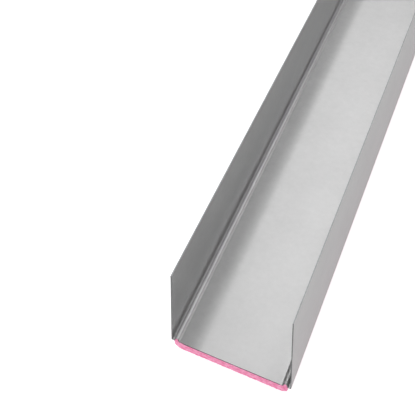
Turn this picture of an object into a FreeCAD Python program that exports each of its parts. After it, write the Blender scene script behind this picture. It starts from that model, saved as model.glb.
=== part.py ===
import FreeCAD, Part
import Sketcher
import math
import os

# Deep-leg drywall track with a foam gasket under its web.
# The track is one strip of galvanised steel, roll-formed to a channel: a flat web, a raised rib along
# each edge of the web, a tight foot bend, and a leg that leans in a little to grip the studs.
# A strip of closed-cell foam is glued under the web, and its two ridges fill the ribs from below.
# The origin is at the bottom centre: X runs across the web, Y along the track and Z up.

# Driving dimensions in millimetres and degrees
SIZES = [
    ("stock_length", 3048.0, "length of the piece, as sold"),
    ("web_inside", 65.4, "clear width between the feet of the legs: the stud and a little play"),
    ("leg_height", 76.2, "height of a leg, from the underside of its foot"),
    ("sheet_thickness", 0.48, "thickness of the galvanised sheet"),
    ("toe_in", 4.4, "lean of each leg towards the other"),
    ("foot_radius", 0.45, "inside radius of the bend at the foot of a leg"),
    ("rib_rise", 3.4, "rise of a rib above the web"),
    ("rib_wall_angle", 73.0, "steepness of the rib's side next to the leg"),
    ("rib_slope_angle", 86.0, "steepness of the rib's side next to the web"),
    ("crown_radius", 0.8, "underside radius of a rib's crown"),
    ("heel_radius", 0.4, "topside radius where a rib leaves the web"),
    ("foam_thickness", 9.2, "thickness of the foam below the web"),
    ("foam_clearance", 0.2, "gap between a foam ridge and the rib that it fills"),
    ("foam_inset", 1.1, "distance of the foam's side inwards from the foot of the leg"),
    ("foam_corner", 4.6, "radius of the foam's soft lower corner"),
]

doc = FreeCAD.newDocument("drywall_track")
sheet = doc.addObject("Spreadsheet::Sheet", "Sizes")
for row, (alias, number, meaning) in enumerate(SIZES, start=1):
    sheet.set(f"A{row}", meaning)
    sheet.set(f"B{row}", str(number))
    sheet.setAlias(f"B{row}", alias)
doc.recompute()

# Parts of a sketch that its constraints point at: the axes, and the points of a line or an arc
UPRIGHT_AXIS, ROOT = range(-2, 0)
START, END, CENTRE = range(1, 4)


def vector(x, y):
    return FreeCAD.Vector(x, y, 0)


def towards(degrees):
    """Unit vector at an angle from the X axis of a sketch."""
    return vector(math.cos(math.radians(degrees)), math.sin(math.radians(degrees)))


def add_line(sketch, start, end):
    return sketch.addGeometry(Part.LineSegment(start, end), False)


def add_arc(sketch, centre, radius, first, last):
    """Arc that runs anticlockwise from one angle to another, in degrees."""
    circle = Part.Circle(centre, FreeCAD.Vector(0, 0, 1), radius)
    return sketch.addGeometry(Part.ArcOfCircle(circle, math.radians(first), math.radians(last)), False)


def tie(sketch, kind, *where):
    sketch.addConstraint(Sketcher.Constraint(kind, *where))


def drive(sketch, label, expression, kind, *where):
    """Named dimension of a sketch, bound to the sheet."""
    value = sheet.evalExpression(expression)
    value = math.radians(value.Value) if kind == "Angle" else float(value)
    index = sketch.addConstraint(Sketcher.Constraint(kind, *where, value))
    sketch.renameConstraint(index, label)
    sketch.setExpression(f"Constraints.{label}", expression)


def draw_rib(sketch, crown_radius):
    """Half of the web and the rib at its left edge: web, heel, slope, crown and wall, going outwards.

    The crown lies against a wall that touches the foot bend, so two radii and two angles place the rib.
    """
    level = sheet.foam_thickness
    wall_angle = sheet.rib_wall_angle
    slope_angle = sheet.rib_slope_angle
    heel_radius = sheet.heel_radius + sheet.sheet_thickness
    foot_radius = sheet.foot_radius + sheet.sheet_thickness
    foot = vector(sheet.foot_radius - sheet.web_inside / 2, level + foot_radius)
    out_of_wall = towards(wall_angle - 90)
    out_of_slope = towards(90 - slope_angle)
    crown_y = level + sheet.rib_rise - sheet.crown_radius
    climb = crown_y - foot.y
    crown_x = foot.x + (foot_radius + sheet.crown_radius - climb * out_of_wall.y) / out_of_wall.x
    crown = vector(crown_x, crown_y)
    heel_y = level + heel_radius
    drop = heel_y - crown_y
    heel_x = crown_x + (crown_radius + heel_radius - drop * out_of_slope.y) / out_of_slope.x
    heel = vector(heel_x, heel_y)
    web = add_line(sketch, vector(0, level), vector(heel_x, level))
    bend = add_arc(sketch, heel, heel_radius, 270 - slope_angle, 270)
    slope = add_line(sketch, heel - out_of_slope * heel_radius, crown + out_of_slope * crown_radius)
    top = add_arc(sketch, crown, crown_radius, 90 - slope_angle, 90 + wall_angle)
    wall = add_line(sketch, foot + out_of_wall * foot_radius, crown - out_of_wall * crown_radius)
    tie(sketch, "PointOnObject", web, START, UPRIGHT_AXIS)
    tie(sketch, "Horizontal", web)
    tie(sketch, "Tangent", web, END, bend, END)
    tie(sketch, "Tangent", bend, START, slope, START)
    tie(sketch, "Tangent", slope, END, top, START)
    tie(sketch, "Tangent", top, END, wall, END)
    drive(sketch, "web_level", "Sizes.foam_thickness", "DistanceY", ROOT, START, web, START)
    drive(sketch, "heel_bend", "Sizes.heel_radius + Sizes.sheet_thickness", "Radius", bend)
    drive(sketch, "slope_lean", "(180 - Sizes.rib_slope_angle) * 1 deg", "Angle", slope)
    drive(sketch, "wall_lean", "Sizes.rib_wall_angle * 1 deg", "Angle", wall)
    rise = "Sizes.rib_rise - Sizes.crown_radius"
    drive(sketch, "crown_height", rise, "DistanceY", web, START, top, CENTRE)
    return web, top, wall, foot


def make_channel():
    """Steel channel: the underside line of its left half, thickened to the sheet, drawn out and mirrored."""
    sketch = doc.addObject("Sketcher::SketchObject", "underside_line")
    sketch.Placement = FreeCAD.Placement(FreeCAD.Vector(), FreeCAD.Rotation(FreeCAD.Vector(1, 0, 0), 90))
    web, crown, wall, centre = draw_rib(sketch, sheet.crown_radius)
    radius = sheet.foot_radius + sheet.sheet_thickness
    foot = add_arc(sketch, centre, radius, 180 - sheet.toe_in, 270 + sheet.rib_wall_angle)
    low = centre + towards(180 - sheet.toe_in) * radius
    climb = sheet.foam_thickness + sheet.leg_height - low.y
    leg = add_line(sketch, low, low + vector(climb * math.tan(math.radians(sheet.toe_in)), climb))
    tie(sketch, "Tangent", wall, START, foot, END)
    tie(sketch, "Tangent", foot, START, leg, START)
    drive(sketch, "crown_bend", "Sizes.crown_radius", "Radius", crown)
    drive(sketch, "foot_bend", "Sizes.foot_radius + Sizes.sheet_thickness", "Radius", foot)
    lift = "Sizes.foot_radius + Sizes.sheet_thickness"
    drive(sketch, "foot_height", lift, "DistanceY", web, START, foot, CENTRE)
    half = "Sizes.web_inside / 2 - Sizes.foot_radius"
    drive(sketch, "foot_place", half, "DistanceX", foot, CENTRE, ROOT, START)
    drive(sketch, "leg_lean", "(90 - Sizes.toe_in) * 1 deg", "Angle", leg)
    drive(sketch, "leg_top", "Sizes.leg_height", "DistanceY", web, START, leg, END)
    crown_place = sketch.addConstraint(Sketcher.Constraint("DistanceX", crown, CENTRE, ROOT, START, 1.0))
    sketch.setDriving(crown_place, False)
    sketch.renameConstraint(crown_place, "crown_place")
    doc.recompute()

    section = doc.addObject("Part::Offset2D", "half_section")
    section.Source = sketch
    section.Mode = "Skin"
    section.Join = "Arc"
    section.Fill = True
    section.setExpression("Value", "-Sizes.sheet_thickness")
    doc.recompute()

    half_channel = doc.addObject("Part::Extrusion", "half_channel")
    half_channel.Base = section
    half_channel.DirMode = "Normal"
    half_channel.Solid = True
    half_channel.Symmetric = True
    half_channel.setExpression("LengthFwd", "Sizes.stock_length")
    doc.recompute()

    other_half = doc.addObject("Part::Mirroring", "other_half")
    other_half.Source = half_channel
    other_half.Normal = FreeCAD.Vector(1, 0, 0)
    doc.recompute()

    channel = doc.addObject("Part::Fuse", "track_channel")
    channel.Base = half_channel
    channel.Tool = other_half
    channel.Refine = True
    channel.Label = "track_channel"
    doc.recompute()
    return channel


def make_gasket():
    """Foam strip: a slab under the web with round lower corners, and a ridge in each rib above it.

    A narrow ledge just under the foot bend joins the ridge to the side of the slab.
    """
    body = doc.addObject("PartDesign::Body", "foam_gasket")
    body.Label = "foam_gasket"
    plane = next(item for item in body.Origin.OriginFeatures if item.Role == "XZ_Plane")
    middle = next(item for item in body.Origin.OriginFeatures if item.Role == "YZ_Plane")
    sketch = body.newObject("Sketcher::SketchObject", "foam_outline")
    sketch.AttachmentSupport = [(plane, "")]
    sketch.MapMode = "FlatFace"
    web, ridge, wall, foot = draw_rib(sketch, sheet.crown_radius - sheet.foam_clearance)
    edge = "Sizes.web_inside / 2 - Sizes.foam_inset"
    side_x = -sheet.evalExpression(edge)
    ledge_y = sheet.foam_thickness - sheet.foam_clearance
    radius = sheet.foam_corner
    ledge = add_line(sketch, vector(foot.x + sheet.foam_inset, ledge_y), vector(side_x, ledge_y))
    side = add_line(sketch, vector(side_x, ledge_y), vector(side_x, radius))
    corner = add_arc(sketch, vector(side_x + radius, radius), radius, 180, 270)
    bottom = add_line(sketch, vector(side_x + radius, 0), vector(0, 0))
    centre = add_line(sketch, vector(0, 0), vector(0, sheet.foam_thickness))
    tie(sketch, "Coincident", wall, START, ledge, START)
    tie(sketch, "Coincident", ledge, END, side, START)
    tie(sketch, "Tangent", side, END, corner, START)
    tie(sketch, "Tangent", corner, END, bottom, START)
    tie(sketch, "Coincident", bottom, END, ROOT, START)
    tie(sketch, "Coincident", centre, START, ROOT, START)
    tie(sketch, "Coincident", centre, END, web, START)
    tie(sketch, "Horizontal", ledge)
    tie(sketch, "Vertical", side)
    tie(sketch, "Horizontal", bottom)
    drive(sketch, "ridge_bend", "Sizes.crown_radius - Sizes.foam_clearance", "Radius", ridge)
    place = "underside_line.Constraints.crown_place"
    drive(sketch, "ridge_place", place, "DistanceX", ridge, CENTRE, ROOT, START)
    drive(sketch, "foam_edge", edge, "DistanceX", side, START, ROOT, START)
    drive(sketch, "foam_round", "Sizes.foam_corner", "Radius", corner)
    level = "Sizes.foam_thickness - Sizes.foam_clearance"
    drive(sketch, "ledge_level", level, "DistanceY", ROOT, START, ledge, END)
    doc.recompute()

    half = body.newObject("PartDesign::Pad", "half_gasket")
    half.Profile = sketch
    half.SideType = "Symmetric"
    half.setExpression("Length", "Sizes.stock_length")
    doc.recompute()

    whole = body.newObject("PartDesign::Mirrored", "whole_gasket")
    whole.Originals = [half]
    whole.MirrorPlane = (middle, [""])
    body.Tip = whole
    doc.recompute()
    return body


pieces = [make_channel(), make_gasket()]

for item in doc.Objects:
    if "Invalid" in item.State or "Error" in item.State:
        raise RuntimeError(f"{item.Name} did not build: {item.State}")
for piece in pieces:
    if piece.Shape.isNull() or not piece.Shape.isValid() or len(piece.Shape.Solids) != 1:
        raise RuntimeError(f"{piece.Label} is not one sound solid")

os.makedirs("parts", exist_ok=True)
for piece in pieces:
    piece.Shape.exportStep(f"parts/{piece.Label}.step")
    box = piece.Shape.BoundBox
    print(piece.Label, f"{piece.Shape.Volume:.1f} mm3", box)
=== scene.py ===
import bpy
import numpy as np
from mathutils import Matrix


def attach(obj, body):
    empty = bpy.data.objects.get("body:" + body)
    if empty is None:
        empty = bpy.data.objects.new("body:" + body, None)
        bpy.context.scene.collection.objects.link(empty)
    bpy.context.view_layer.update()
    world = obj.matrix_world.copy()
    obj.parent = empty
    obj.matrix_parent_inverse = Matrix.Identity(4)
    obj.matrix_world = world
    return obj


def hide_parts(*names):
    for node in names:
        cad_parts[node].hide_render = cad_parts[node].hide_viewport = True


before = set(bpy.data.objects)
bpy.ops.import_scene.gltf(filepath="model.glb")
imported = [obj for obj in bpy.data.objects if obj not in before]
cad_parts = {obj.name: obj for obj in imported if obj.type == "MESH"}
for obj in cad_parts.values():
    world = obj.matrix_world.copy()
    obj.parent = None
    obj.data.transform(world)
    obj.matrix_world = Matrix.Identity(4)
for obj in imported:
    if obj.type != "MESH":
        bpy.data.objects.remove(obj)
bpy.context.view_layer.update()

# Steel channel
# One strip of hot-dip galvanised sheet, rolled to a flat web, a rib and a flat-floored groove along each of
# its edges, and two legs that lean in. Both ends are sheared square, and the foam is glued under the web.
MM = 0.001
TRACK_LENGTH = 3048.0
WEB_INSIDE = 65.4
LEG_HEIGHT = 76.2
SHEET = 0.48
TOE_IN = 4.4
FOOT_RADIUS = 0.2
GROOVE_RADIUS = 0.2
RIB_RISE = 3.4
RIB_WALL = 80.0
RIB_SLOPE = 86.0
CROWN_PLACE = 29.93
CROWN_RADIUS = 0.8
HEEL_RADIUS = 0.4
FOAM_THICKNESS = 9.2
WEB_POINTS = 29
BEND_POINTS = 9
CROWN_POINTS = 21
FOOT_POINTS = 17
LEG_POINTS = 41
STATIONS = 60
SHARP_EDGE = 30.0
crown_z = FOAM_THICKNESS + RIB_RISE - CROWN_RADIUS


def facing(degrees):
    """Unit vectors at angles from the X axis, one row to an angle."""
    turn = np.radians(np.atleast_1d(degrees))
    return np.stack([np.cos(turn), np.sin(turn)], axis=1)


def rib_line(gap):
    """Underside of the web and of the right rib up to its crown, as points and as normals out of the foam.

    Straight runs are joined by arcs that touch them: a point of an arc is its centre plus its radius times a
    turning unit vector. The rib's slope touches heel and crown. A gap draws the crown in about the same
    centre, and the slope with it.
    """
    heel_r = HEEL_RADIUS + SHEET
    crown_r = CROWN_RADIUS - gap
    out_slope = facing(90 + RIB_SLOPE)[0]
    heel_z = FOAM_THICKNESS + heel_r
    heel_x = CROWN_PLACE + (crown_r + heel_r - (heel_z - crown_z) * out_slope[1]) / out_slope[0]
    web_x = np.linspace(0, heel_x, WEB_POINTS)[:-1]
    heel_out = facing(np.linspace(270, 270 + RIB_SLOPE, BEND_POINTS))
    crown_out = facing(np.linspace(90 + RIB_SLOPE, 90 - RIB_WALL, CROWN_POINTS))
    web = np.stack([web_x, np.full_like(web_x, FOAM_THICKNESS)], axis=1)
    heel = np.array([heel_x, heel_z]) + heel_r * heel_out
    crown = np.array([CROWN_PLACE, crown_z]) + crown_r * crown_out
    level = np.tile([0.0, 1.0], (len(web_x), 1))
    return np.concatenate([web, heel, crown]), np.concatenate([level, -heel_out, crown_out])


def both_halves(half):
    """A line of the right half and its mirror image, joined at the centre line, from left to right."""
    return np.concatenate([half[:0:-1] * [-1, 1], half])


def closed_run(rings):
    """Closed loop of a section carried along Y, as points and as quads that join each ring to the next.

    The rings hold a point for each station along Y and each place round the loop, which runs against the
    clock as seen from -Y. The first and the last ring wait for their caps.
    """
    stations, around = rings.shape[:2]
    row = np.arange(stations - 1)[:, None] * around
    here = np.arange(around)[None, :]
    ahead = (here + 1) % around
    quads = np.stack([row + here, row + around + here, row + around + ahead, row + ahead], axis=2)
    return rings.reshape(-1, 3), quads.reshape(-1, 4)


def mesh_piece(name, points, faces, materials, slots):
    """Mesh object at the origin, from points in millimetres, smooth but for its sharp edges."""
    mesh = bpy.data.meshes.new(name)
    mesh.from_pydata((points * MM).tolist(), [], faces.tolist())
    for material in materials:
        mesh.materials.append(material)
    mesh.polygons.foreach_set("material_index", slots.astype(np.int32))
    mesh.shade_smooth()
    mesh.set_sharp_from_angle(angle=np.radians(SHARP_EDGE))
    mesh.validate()
    piece = bpy.data.objects.new(name, mesh)
    bpy.context.scene.collection.objects.link(piece)
    return piece


def linear(hex_colour):
    """Linear RGBA of an sRGB hex value."""
    srgb = np.array([int(hex_colour[i:i + 2], 16) for i in (1, 3, 5)]) / 255
    rgb = np.where(srgb <= 0.04045, srgb / 12.92, ((srgb + 0.055) / 1.055) ** 2.4)
    return (*rgb.tolist(), 1.0)


def add_node(tree, kind, settings={}, links={}):
    """Adds a node. A setting names a socket or a property of it, and a link joins an output to a socket."""
    made = tree.nodes.new(kind)
    for key, value in settings.items():
        if isinstance(key, int) or key in made.inputs:
            made.inputs[key].default_value = value
        else:
            setattr(made, key, value)
    for key, output in links.items():
        tree.links.new(output, made.inputs[key])
    return made


def new_material(name):
    """Empty material with its Principled shader and its output joined."""
    material = bpy.data.materials.new(name)
    material.use_nodes = True
    material.node_tree.nodes.clear()
    shader = add_node(material.node_tree, "ShaderNodeBsdfPrincipled")
    add_node(material.node_tree, "ShaderNodeOutputMaterial", links={"Surface": shader.outputs["BSDF"]})
    return material, shader


# Sockets of a colour mix, by number because its other data types share their names
MIX_FACTOR, MIX_DARK, MIX_LIGHT = 0, 6, 7
MIX_COLOUR = 2

# Hot-dip galvanised sheet: dull silver-grey zinc, with spangle a few millimetres across and fine lines along
# the strip from the rolls. The eye sees a soft sheen that is a little uneven, never a clear mirror image.
ZINC_DARK = linear("#DADADA")
ZINC_LIGHT = linear("#E7E7E7")
SPANGLE_MM = 4.0
SPANGLE_WEIGHT = 2.0
CLOUD_MM = 22.0
ROLL_LINE_MM = 1.6
ROLL_LINE_STRETCH = 250.0
ROLL_LINE_DEPTH_MM = 0.02
zinc, zinc_shader = new_material("galvanised_steel_sheet")
tree = zinc.node_tree
place = add_node(tree, "ShaderNodeTexCoord")
spangle = add_node(tree, "ShaderNodeTexNoise",
                   {"Scale": 1 / (SPANGLE_MM * MM), "Detail": 3.0, "Roughness": 0.6},
                   {"Vector": place.outputs["Object"]})
cloud = add_node(tree, "ShaderNodeTexNoise", {"Scale": 1 / (CLOUD_MM * MM), "Detail": 2.0},
                 {"Vector": place.outputs["Object"]})
stretch = add_node(tree, "ShaderNodeMapping", {"Scale": (1.0, 1 / ROLL_LINE_STRETCH, 1.0)},
                   {"Vector": place.outputs["Object"]})
rolled = add_node(tree, "ShaderNodeTexNoise", {"Scale": 1 / (ROLL_LINE_MM * MM), "Detail": 2.0},
                  {"Vector": stretch.outputs["Vector"]})
mottle = add_node(tree, "ShaderNodeMath", {"operation": "MULTIPLY_ADD", 1: SPANGLE_WEIGHT},
                  {0: spangle.outputs["Fac"], 2: cloud.outputs["Fac"]})
tint = add_node(tree, "ShaderNodeMapRange", {"From Min": 0.8, "From Max": 2.2},
                {"Value": mottle.outputs["Value"]})
colour = add_node(tree, "ShaderNodeMix", {"data_type": "RGBA", MIX_DARK: ZINC_DARK, MIX_LIGHT: ZINC_LIGHT},
                  {MIX_FACTOR: tint.outputs["Result"]})
gloss = add_node(tree, "ShaderNodeMapRange",
                 {"From Min": 0.3, "From Max": 0.7, "To Min": 0.285, "To Max": 0.315},
                 {"Value": spangle.outputs["Fac"]})
grain = add_node(tree, "ShaderNodeBump", {"Strength": 0.15, "Distance": ROLL_LINE_DEPTH_MM * MM},
                 {"Height": rolled.outputs["Fac"]})
zinc_shader.inputs["Metallic"].default_value = 1.0
tree.links.new(colour.outputs[MIX_COLOUR], zinc_shader.inputs["Base Color"])
tree.links.new(gloss.outputs["Result"], zinc_shader.inputs["Roughness"])
tree.links.new(grain.outputs["Normal"], zinc_shader.inputs["Normal"])

TEAR_MM = 0.8


def torn_steel(name, dark, light, roughness):
    """Bare steel of a cut edge, streaked between two colours by the tearing of the blade."""
    material, shader = new_material(name)
    tree = material.node_tree
    place = add_node(tree, "ShaderNodeTexCoord")
    tear = add_node(tree, "ShaderNodeTexNoise", {"Scale": 1 / (TEAR_MM * MM), "Detail": 3.0},
                    {"Vector": place.outputs["Object"]})
    colour = add_node(tree, "ShaderNodeMix",
                      {"data_type": "RGBA", MIX_DARK: linear(dark), MIX_LIGHT: linear(light)},
                      {MIX_FACTOR: tear.outputs["Fac"]})
    shader.inputs["Metallic"].default_value = 0.5
    shader.inputs["Roughness"].default_value = roughness
    tree.links.new(colour.outputs[MIX_COLOUR], shader.inputs["Base Color"])
    return material


# Sheared end: steel torn by the blade across the strip, seen as a line round the section. Along the web its
# colour is painted shade, near-black, for the shade where steel meets foam; round the ribs and legs it is
# grey cut steel.
shaded_web_end = torn_steel("web_end_painted_shade", "#141516", "#262728", 0.5)
sheared_leg = torn_steel("sheared_steel_leg_end", "#5C5E60", "#808284", 0.45)
PAINTED_SHADE_WEB_HALF = 27.4

# Slit edge along the top of a leg: cut before the strip was rolled and smeared with zinc, so that the eye
# sees it hardly darker than the face.
slit = torn_steel("slit_steel_edge", "#A2A4A6", "#BEC0C2", 0.4)

# Underside line of the right half: web and rib, groove bend, foot bend and leg
rib, rib_out = rib_line(0.0)
groove_r = GROOVE_RADIUS + SHEET
groove_z = FOAM_THICKNESS + groove_r
groove_out = facing(np.linspace(270 - RIB_WALL, 270, BEND_POINTS))
out_wall = -groove_out[0]
groove_x = CROWN_PLACE + (CROWN_RADIUS + groove_r - (groove_z - crown_z) * out_wall[1]) / out_wall[0]
groove = np.array([groove_x, groove_z]) + groove_r * groove_out
foot_r = FOOT_RADIUS + SHEET
foot = np.array([WEB_INSIDE / 2 - FOOT_RADIUS, FOAM_THICKNESS + foot_r])
foot_out = facing(np.linspace(270, 360 + TOE_IN, FOOT_POINTS))
in_leg = -facing(TOE_IN)[0]
leg_low = foot - foot_r * in_leg
leg_run = (FOAM_THICKNESS + LEG_HEIGHT - leg_low[1]) / -in_leg[0]
up_leg = np.array([in_leg[1], -in_leg[0]])
leg = leg_low + np.linspace(0, leg_run, LEG_POINTS)[1:, None] * up_leg
line = np.concatenate([rib, groove, foot + foot_r * foot_out, leg])
line_out = np.concatenate([rib_out, -groove_out, -foot_out, np.tile(in_leg, (len(leg), 1))])

# The loop runs along the underside and back along the top side, a sheet's thickness away, and a cap joins
# each point of the underside to the one above it.
under = both_halves(line)
over = both_halves(line + SHEET * line_out)
count = len(under)
rings = np.empty((STATIONS, 2 * count, 3))
rings[:, :, [0, 2]] = np.concatenate([under, over[::-1]])
rings[:, :, 1] = np.linspace(-TRACK_LENGTH / 2, TRACK_LENGTH / 2, STATIONS)[:, None]
points, sides = closed_run(rings)
step = np.arange(count - 1)
near_cap = np.stack([step, step + 1, 2 * count - 2 - step, 2 * count - 1 - step], axis=1)
far_cap = near_cap[:, ::-1] + (STATIONS - 1) * 2 * count
side_slots = np.zeros((STATIONS - 1, 2 * count))
side_slots[:, [count - 1, 2 * count - 1]] = 1
# Caps within that half-width across the web take its painted shade; the ribs and legs take grey cut steel
cap_slots = np.where(np.abs(under[:-1, 0]) < PAINTED_SHADE_WEB_HALF, 2, 3)
channel = mesh_piece("channel", points, np.concatenate([sides, near_cap, far_cap]),
                     [zinc, slit, shaded_web_end, sheared_leg],
                     np.concatenate([side_slots.ravel(), cap_slots, cap_slots]))
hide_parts("track_channel")
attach(channel, "root")

# Foam gasket
# A strip of closed-cell polyethylene foam with a ridge along each edge, glued under the web so that these
# fill the ribs. It was cut with the steel: its end is a little ragged, and a dark band of painted shade runs
# along its top under the web.
FOAM_INSET = 1.1
RIDGE_GAP = 0.2
FOAM_CORNER = 4.6
WALL_POINTS = 9
LEDGE_POINTS = 5
# Share of the way down and half-width of the top band of each foam end that carries the painted shade
SHADE_BAND_SHARE = 0.075
SHADE_BAND_HALF = 27.0
ridge = rib_line(RIDGE_GAP)[0]
foam_edge = WEB_INSIDE / 2 - FOAM_INSET
ledge_z = FOAM_THICKNESS - RIDGE_GAP
ledge_x = ridge[-1, 0] + (ridge[-1, 1] - ledge_z) / np.tan(np.radians(RIB_WALL))
ridge_wall = np.linspace(ridge[-1], [ledge_x, ledge_z], WALL_POINTS)[1:]
ledge = np.linspace([ledge_x, ledge_z], [foam_edge, ledge_z], LEDGE_POINTS)[1:]
top = both_halves(np.concatenate([ridge, ridge_wall, ledge]))
past_flat = np.clip(np.abs(top[:, 0]) - foam_edge + FOAM_CORNER, 0, FOAM_CORNER)
bottom_z = FOAM_CORNER - np.sqrt(FOAM_CORNER ** 2 - past_flat ** 2)

# Grid of the section: a column under each point of its top line, and rows at shares of the way down
down = np.array([0, SHADE_BAND_SHARE, 0.11, 0.16, 0.24, 0.35, 0.47, 0.6, 0.72, 0.83, 0.91, 0.96, 1])[:, None]
end_x = np.tile(top[:, 0], (len(down), 1))
end_z = top[:, 1] + down * (bottom_z - top[:, 1])
rows, columns = end_x.shape

# Rim of that grid as a loop: along the bottom row, up the right edge, back along the top and down the left
ring_row = np.concatenate([np.full(columns, rows - 1), np.arange(rows - 2, -1, -1),
                           np.zeros(columns - 1, int), np.arange(1, rows - 1)])
ring_column = np.concatenate([np.arange(columns), np.full(rows - 1, columns - 1),
                              np.arange(columns - 2, -1, -1), np.zeros(rows - 2, int)])

CUT_RAGGED = 0.3
CUT_RIM = 0.1
CUT_LIFT = 0.12
CUT_WAVES = ((2.1, 1.3), (3.7, -2.9), (0.83, 4.4))
LIFT_WAVES = (1.7, 4.1)
FADE_IN_SHARE = 0.2
RIM_POWER = 24
LIFT_POWER = 12


def cut_end(end_y, inward, shift):
    """End face of the foam, row by row down the section and column by column across it.

    Depth of the cut grows from nothing under the steel to a sum of three sine waves of X and Z, plus a
    rounded lower rim. That rim also rises by two waves of X, and never drops below the section.
    """
    waves = sum(np.sin(across * end_x + upward * end_z + turn * shift)
                for turn, (across, upward) in enumerate(CUT_WAVES, start=1))
    lift_waves = sum(np.sin(across * end_x + turn * shift) for turn, across in enumerate(LIFT_WAVES, start=1))
    ragged = (len(CUT_WAVES) + waves) / (2 * len(CUT_WAVES))
    lift = CUT_LIFT * (len(LIFT_WAVES) + lift_waves) / (2 * len(LIFT_WAVES))
    depth = CUT_RAGGED * np.minimum(down / FADE_IN_SHARE, 1) * ragged + CUT_RIM * down ** RIM_POWER
    return np.stack([end_x, end_y + inward * depth, end_z + lift * down ** LIFT_POWER], axis=2)


near_end = cut_end(-TRACK_LENGTH / 2, inward=1, shift=0.4)
far_end = cut_end(TRACK_LENGTH / 2, inward=-1, shift=1.7)

# Stations along the strip: three close behind each ragged end, and even steps between
PLAIN_HALF = 1480.0
FOAM_STATIONS = 60
behind_end = np.array([2.0, 6.0, 15.0]) - TRACK_LENGTH / 2
between = np.linspace(-PLAIN_HALF, PLAIN_HALF, FOAM_STATIONS)
foam_along = np.concatenate([behind_end, between, -behind_end[::-1]])
rings = np.empty((len(foam_along) + 2, len(ring_row), 3))
rings[1:-1, :, 0] = end_x[ring_row, ring_column]
rings[1:-1, :, 1] = foam_along[:, None]
rings[1:-1, :, 2] = end_z[ring_row, ring_column]
rings[0] = near_end[ring_row, ring_column]
rings[-1] = far_end[ring_row, ring_column]
points, sides = closed_run(rings)

# Caps: the rim of each end grid is the first or the last ring, and the points inside it follow all the rings
place_in_ring = np.full((rows, columns), -1)
place_in_ring[ring_row, ring_column] = np.arange(len(ring_row))
inner = place_in_ring < 0
number = np.cumsum(inner).reshape(inner.shape) - 1 + len(points)
near = np.where(inner, number, place_in_ring)
far = np.where(inner, number + inner.sum(), place_in_ring + len(points) - len(ring_row))
near_cap = np.stack([near[:-1, :-1], near[1:, :-1], near[1:, 1:], near[:-1, 1:]], axis=2).reshape(-1, 4)
far_cap = np.stack([far[:-1, :-1], far[:-1, 1:], far[1:, 1:], far[1:, :-1]], axis=2).reshape(-1, 4)
points = np.concatenate([points, near_end[inner], far_end[inner]])

# Closed-cell foam: matt pink, with cells under a millimetre that take the shine off it and leave a fine
# pitted grain. The eye sees paler and deeper patches a few cells across where the cells were torn open.
FOAM_DEEP = linear("#EB74A2")
FOAM_PALE = linear("#FFB0D1")
FOAM_CELL_MM = 0.9
FOAM_CELL_WEIGHT = 0.35
FOAM_PIT_MM = 0.25
FOAM_PATCH_MM = 2.6
pink, pink_shader = new_material("pink_polyethylene_foam")
tree = pink.node_tree
place = add_node(tree, "ShaderNodeTexCoord")
cells = add_node(tree, "ShaderNodeTexVoronoi", {"Scale": 1 / (FOAM_CELL_MM * MM)},
                 {"Vector": place.outputs["Object"]})
patches = add_node(tree, "ShaderNodeTexNoise", {"Scale": 1 / (FOAM_PATCH_MM * MM), "Detail": 2.0},
                   {"Vector": place.outputs["Object"]})
blend = add_node(tree, "ShaderNodeMath", {"operation": "MULTIPLY_ADD", 1: FOAM_CELL_WEIGHT},
                 {0: cells.outputs["Distance"], 2: patches.outputs["Fac"]})
tint = add_node(tree, "ShaderNodeMapRange", {"From Min": 0.45, "From Max": 0.85},
                {"Value": blend.outputs["Value"]})
colour = add_node(tree, "ShaderNodeMix", {"data_type": "RGBA", MIX_DARK: FOAM_DEEP, MIX_LIGHT: FOAM_PALE},
                  {MIX_FACTOR: tint.outputs["Result"]})
pits = add_node(tree, "ShaderNodeBump", {"Strength": 0.5, "Distance": FOAM_PIT_MM * MM},
                {"Height": cells.outputs["Distance"]})
pink_shader.inputs["Roughness"].default_value = 0.85
tree.links.new(colour.outputs[MIX_COLOUR], pink_shader.inputs["Base Color"])
tree.links.new(pits.outputs["Normal"], pink_shader.inputs["Normal"])

# Painted shade: a dark band along the top of each foam end under the web, for the shade where foam meets
# steel.
SHADE_BAND_DARK = linear("#150F12")
SHADE_BAND_LIGHT = linear("#34252B")
SHADE_BAND_BLOTCH_MM = 1.2
shade_band, shade_band_shader = new_material("painted_shade_band")
tree = shade_band.node_tree
place = add_node(tree, "ShaderNodeTexCoord")
shade_blotches = add_node(tree, "ShaderNodeTexNoise", {"Scale": 1 / (SHADE_BAND_BLOTCH_MM * MM), "Detail": 2.0},
                 {"Vector": place.outputs["Object"]})
colour = add_node(tree, "ShaderNodeMix", {"data_type": "RGBA", MIX_DARK: SHADE_BAND_DARK, MIX_LIGHT: SHADE_BAND_LIGHT},
                  {MIX_FACTOR: shade_blotches.outputs["Fac"]})
shade_band_shader.inputs["Roughness"].default_value = 0.9
tree.links.new(colour.outputs[MIX_COLOUR], shade_band_shader.inputs["Base Color"])

cap_slots = np.zeros((rows - 1, columns - 1))
# The top band of each end, across the web, takes the painted shade material
cap_slots[0, np.abs(top[:-1, 0]) < SHADE_BAND_HALF] = 1
gasket = mesh_piece("gasket", points, np.concatenate([sides, near_cap, far_cap]), [pink, shade_band],
                    np.concatenate([np.zeros(len(sides)), cap_slots.ravel(), cap_slots.ravel()]))
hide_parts("foam_gasket")
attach(gasket, "root")

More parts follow.
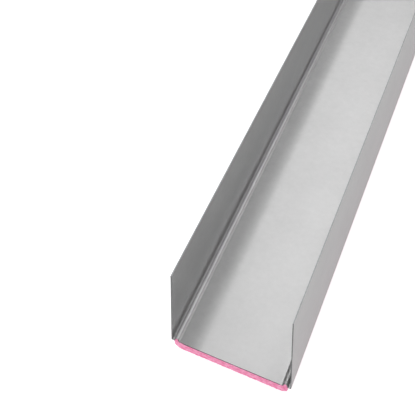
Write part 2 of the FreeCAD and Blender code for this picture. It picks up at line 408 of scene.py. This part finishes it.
# Studio
# A plain white floor and surround, soft lamps over the track and on either side of it, three more that steel
# does not mirror, which light the foam, the floor and the cut ends, and the camera above the near end.
FLOOR_HALF = 20.0
WHITE = (1.0, 1.0, 1.0, 1.0)
MIRRORED_LEVEL = 0.225
FLOOR_LEVEL = 0.75
BACKDROP_LEVEL = 0.9
floor_corners = [(-FLOOR_HALF, -FLOOR_HALF, 0), (FLOOR_HALF, -FLOOR_HALF, 0),
                 (FLOOR_HALF, FLOOR_HALF, 0), (-FLOOR_HALF, FLOOR_HALF, 0)]
floor_mesh = bpy.data.meshes.new("floor")
floor_mesh.from_pydata(floor_corners, [], [(0, 1, 2, 3)])
floor = bpy.data.objects.new("floor", floor_mesh)
bpy.context.scene.collection.objects.link(floor)


def surround_level(tree, white):
    """Brightness of a pale surround, and which rays see it as bright.

    It is white to the camera, and dimmer where steel mirrors it or glass would show it.
    """
    ray = add_node(tree, "ShaderNodeLightPath")
    level = add_node(tree, "ShaderNodeMapRange", {"To Min": MIRRORED_LEVEL, "To Max": white},
                     {"Value": ray.outputs["Is Camera Ray"]})
    seen = add_node(tree, "ShaderNodeMath", {"operation": "MAXIMUM"},
                    {0: ray.outputs["Is Camera Ray"], 1: ray.outputs["Is Glossy Ray"]})
    seen = add_node(tree, "ShaderNodeMath", {"operation": "MAXIMUM"},
                    {0: seen.outputs["Value"], 1: ray.outputs["Is Transmission Ray"]})
    return level.outputs["Result"], seen.outputs["Value"]


# Paper floor: matt white, and bright enough to the camera to leave only a faint shadow.
paper = bpy.data.materials.new("white_paper_floor")
paper.use_nodes = True
tree = paper.node_tree
tree.nodes.clear()
matt = add_node(tree, "ShaderNodeBsdfDiffuse", {"Color": linear("#C4C4C4")})
level, seen = surround_level(tree, FLOOR_LEVEL)
glow = add_node(tree, "ShaderNodeEmission", {"Color": WHITE}, {"Strength": level})
lit = add_node(tree, "ShaderNodeAddShader", links={0: matt.outputs["BSDF"], 1: glow.outputs["Emission"]})
mixed = add_node(tree, "ShaderNodeMixShader",
                 links={0: seen, 1: matt.outputs["BSDF"], 2: lit.outputs["Shader"]})
add_node(tree, "ShaderNodeOutputMaterial", links={"Surface": mixed.outputs["Shader"]})
floor_mesh.materials.append(paper)

world = bpy.data.worlds.new("studio")
world.use_nodes = True
bpy.context.scene.world = world
tree = world.node_tree
tree.nodes.clear()
level, seen = surround_level(tree, BACKDROP_LEVEL)
fill = add_node(tree, "ShaderNodeBackground", {"Color": WHITE, "Strength": MIRRORED_LEVEL})
backdrop = add_node(tree, "ShaderNodeBackground", {"Color": WHITE}, {"Strength": level})
mixed = add_node(tree, "ShaderNodeMixShader",
                 links={0: seen, 1: fill.outputs["Background"], 2: backdrop.outputs["Background"]})
add_node(tree, "ShaderNodeOutputWorld", links={"Surface": mixed.outputs["Shader"]})


def softbox(name, place, turn, width, length, radiance, mirrored=True):
    """Area lamp of a size in metres and an even brightness, unseen by the camera and, if wished, by steel."""
    data = bpy.data.lights.new(name, "AREA")
    data.shape = "RECTANGLE"
    data.size = width
    data.size_y = length
    data.energy = radiance * np.pi * width * length
    lamp = bpy.data.objects.new(name, data)
    lamp.location = place
    lamp.rotation_euler = np.radians(turn)
    lamp.visible_camera = False
    lamp.visible_glossy = mirrored
    bpy.context.scene.collection.objects.link(lamp)


softbox("strip_overhead", place=(-0.2, 0.42, 2.0), turn=(0, 0, 0), width=0.25, length=3.24, radiance=1.95)
softbox("left_softbox", place=(-2.0, 0.0, 1.2), turn=(0, -65, 0), width=2.0, length=3.4, radiance=2.8)
softbox("right_softbox", place=(1.5, 1.3, 2.0), turn=(0, 37, 0), width=0.8, length=6.0, radiance=0.96)
softbox("front_softbox", place=(0.3, -4.0, 1.2), turn=(72, 0, 0), width=4.0, length=2.4, radiance=2.35,
        mirrored=False)
softbox("back_softbox", place=(0.0, 4.0, 1.2), turn=(-72, 0, 0), width=4.0, length=2.4, radiance=1.6,
        mirrored=False)
softbox("side_softbox", place=(3.2, 0.0, 1.0), turn=(0, 75, 0), width=1.8, length=5.0, radiance=0.9,
        mirrored=False)

CAMERA_LENS_MM = 53.542
CAMERA_SENSOR_MM = 36.0
CAMERA_PLACE = (0.04122, -1.625134, 0.316675)
CAMERA_TURN = (33.748, 1.489, 23.96)
NEAREST_SEEN = 0.01
camera_data = bpy.data.cameras.new("camera")
camera_data.sensor_width = CAMERA_SENSOR_MM
camera_data.lens = CAMERA_LENS_MM
camera_data.clip_start = NEAREST_SEEN
camera = bpy.data.objects.new("camera", camera_data)
camera.location = CAMERA_PLACE
camera.rotation_euler = np.radians(CAMERA_TURN)
bpy.context.scene.collection.objects.link(camera)
bpy.context.scene.camera = camera
bpy.context.scene.view_settings.view_transform = "Standard"
